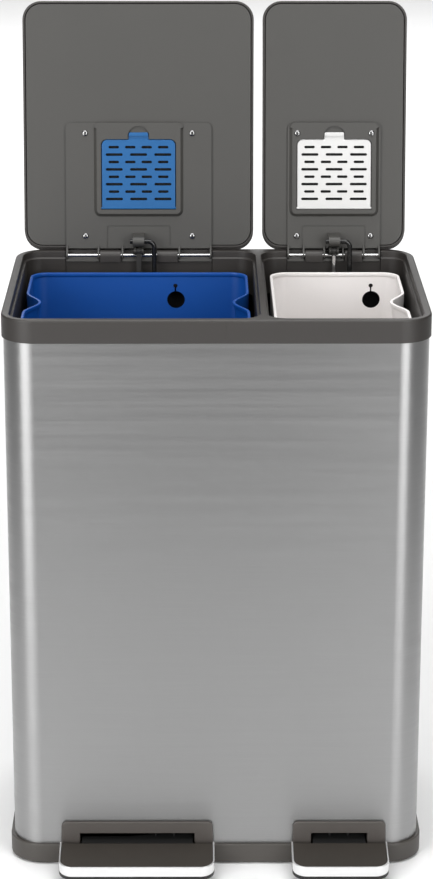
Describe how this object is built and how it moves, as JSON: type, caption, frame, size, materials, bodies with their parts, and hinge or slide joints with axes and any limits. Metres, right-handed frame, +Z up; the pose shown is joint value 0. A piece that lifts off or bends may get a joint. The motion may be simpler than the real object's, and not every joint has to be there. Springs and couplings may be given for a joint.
{
  "type": "double recycling bin",
  "caption": "Steel pedal bin with two compartments, lift-out plastic buckets, soft-closing lids with odour filter grilles, and a pedal and push rod for each lid.",
  "frame": {"origin": "on the floor under the middle of the body", "axes": "+Z up, the pedals and the front face -Y, +X to the right as seen from the front"},
  "size_m": [0.4742, 0.44, 0.9365],
  "materials": {
    "brushed_steel": "fine brushed lines, level round the body",
    "body_plastic": "fine satin grain",
    "lid_inside": "fine satin grain",
    "bright_steel": "polished",
    "zinc_steel": "zinc plated",
    "coated_wire": "black gloss coat",
    "dark_plastic": "moulded",
    "pedal_rubber": "matt",
    "filter_foam": "open foam",
    "left_cover": "satin",
    "right_cover": "satin",
    "left_bucket": "satin",
    "right_bucket": "satin"
  },
  "bodies": {
    "root": {"base": "body_plastic", "damper_bracket_left": "zinc_steel", "damper_bracket_right": "zinc_steel", "damper_bracket_screw_left_1": "zinc_steel", "damper_bracket_screw_left_2": "zinc_steel", "damper_bracket_screw_right_1": "zinc_steel", "damper_bracket_screw_right_2": "zinc_steel", "hinge_block_left": "body_plastic", "hinge_block_right": "body_plastic", "hinge_pin_left": "bright_steel", "hinge_pin_right": "bright_steel", "inner_floor": "dark_plastic", "pedal_axle_clip_left": "zinc_steel", "pedal_axle_clip_right": "zinc_steel", "pedal_axle_left": "zinc_steel", "pedal_axle_right": "zinc_steel", "pedal_surround_left": "body_plastic", "pedal_surround_right": "body_plastic", "steel_body": "brushed_steel", "top_rim": "body_plastic"},
    "bucket_left": {"bucket_left": "left_bucket"},
    "bucket_right": {"bucket_right": "right_bucket"},
    "damper_cylinder_left": {"damper_cylinder_left": "dark_plastic"},
    "damper_cylinder_right": {"damper_cylinder_right": "dark_plastic"},
    "damper_rod_left": {"damper_eye_left": "dark_plastic", "damper_rod_left": "bright_steel"},
    "damper_rod_right": {"damper_eye_right": "dark_plastic", "damper_rod_right": "bright_steel"},
    "lid_left": {"damper_pin_left": "zinc_steel", "filter_pad_left": "filter_foam", "lid_bracket_left": "lid_inside", "lid_liner_left": "lid_inside", "lid_screw_left_1": "bright_steel", "lid_screw_left_2": "bright_steel", "lid_screw_left_3": "bright_steel", "lid_screw_left_4": "bright_steel", "lid_shell_left": "body_plastic"},
    "lid_right": {"damper_pin_right": "zinc_steel", "filter_pad_right": "filter_foam", "lid_bracket_right": "lid_inside", "lid_liner_right": "lid_inside", "lid_screw_right_1": "bright_steel", "lid_screw_right_2": "bright_steel", "lid_screw_right_3": "bright_steel", "lid_screw_right_4": "bright_steel", "lid_shell_right": "body_plastic"},
    "filter_cover_left": {"filter_cover_left": "left_cover"},
    "filter_cover_right": {"filter_cover_right": "right_cover"},
    "pedal_left": {"pedal_carrier_left": "dark_plastic", "pedal_lever_left": "zinc_steel", "pedal_pad_left": "pedal_rubber", "pedal_trim_left": "brushed_steel"},
    "pedal_right": {"pedal_carrier_right": "dark_plastic", "pedal_lever_right": "zinc_steel", "pedal_pad_right": "pedal_rubber", "pedal_trim_right": "brushed_steel"},
    "push_rod_left": {"push_rod_left": "coated_wire"},
    "push_rod_right": {"push_rod_right": "coated_wire"}
  },
  "joints": [
    {"name": "lid_hinge_left", "type": "hinge", "parent": "root", "child": "lid_left", "pos_m": [0, 0.149, 0.643], "axis": [-1, 0, 0], "range_deg": [-99.5, 0]},
    {"name": "push_rod_pivot_left", "type": "hinge", "parent": "lid_left", "child": "push_rod_left", "pos_m": [0, 0.13603, 0.66302], "axis": [-1, 0, 0], "range_deg": [0, 100]},
    {"name": "damper_pivot_left", "type": "hinge", "parent": "lid_left", "child": "damper_rod_left", "pos_m": [0, 0.14051, 0.65101], "axis": [-1, 0, 0], "range_deg": [0, 101]},
    {"name": "damper_slide_left", "type": "slide", "parent": "damper_rod_left", "child": "damper_cylinder_left", "axis": [0, 0, 1], "range_m": [0, 0.018]},
    {"name": "pedal_hinge_left", "type": "hinge", "parent": "root", "child": "pedal_left", "pos_m": [0, -0.114, 0.022], "axis": [1, 0, 0], "range_deg": [-8.3, 0]},
    {"name": "filter_cover_hinge_left", "type": "hinge", "parent": "lid_left", "child": "filter_cover_left", "pos_m": [0, 0.1598, 0.69812], "axis": [-1, 0, 0], "range_deg": [-85, 0]},
    {"name": "bucket_lift_left", "type": "slide", "parent": "root", "child": "bucket_left", "axis": [0, 0, 1], "range_m": [0, 0.6]},
    {"name": "lid_hinge_right", "type": "hinge", "parent": "root", "child": "lid_right", "pos_m": [0, 0.149, 0.643], "axis": [-1, 0, 0], "range_deg": [-99.5, 0]},
    {"name": "push_rod_pivot_right", "type": "hinge", "parent": "lid_right", "child": "push_rod_right", "pos_m": [0, 0.13603, 0.66302], "axis": [-1, 0, 0], "range_deg": [0, 100]},
    {"name": "damper_pivot_right", "type": "hinge", "parent": "lid_right", "child": "damper_rod_right", "pos_m": [0, 0.14051, 0.65101], "axis": [-1, 0, 0], "range_deg": [0, 101]},
    {"name": "damper_slide_right", "type": "slide", "parent": "damper_rod_right", "child": "damper_cylinder_right", "axis": [0, 0, 1], "range_m": [0, 0.018]},
    {"name": "pedal_hinge_right", "type": "hinge", "parent": "root", "child": "pedal_right", "pos_m": [0, -0.114, 0.022], "axis": [1, 0, 0], "range_deg": [-8.3, 0]},
    {"name": "filter_cover_hinge_right", "type": "hinge", "parent": "lid_right", "child": "filter_cover_right", "pos_m": [0, 0.1598, 0.69812], "axis": [-1, 0, 0], "range_deg": [-85, 0]},
    {"name": "bucket_lift_right", "type": "slide", "parent": "root", "child": "bucket_right", "axis": [0, 0, 1], "range_m": [0, 0.6]}
  ],
  "couplings": [
    {"joint": "push_rod_pivot_left", "follows": "lid_hinge_left", "ratio": -0.99564},
    {"joint": "damper_pivot_left", "follows": "lid_hinge_left", "ratio": -1.0064},
    {"joint": "damper_slide_left", "follows": "lid_hinge_left", "m_per_rad": -0.010199},
    {"joint": "pedal_hinge_left", "follows": "lid_hinge_left", "ratio": 0.082735},
    {"joint": "push_rod_pivot_right", "follows": "lid_hinge_right", "ratio": -0.99564},
    {"joint": "damper_pivot_right", "follows": "lid_hinge_right", "ratio": -1.0064},
    {"joint": "damper_slide_right", "follows": "lid_hinge_right", "m_per_rad": -0.010199},
    {"joint": "pedal_hinge_right", "follows": "lid_hinge_right", "ratio": 0.082735}
  ]
}
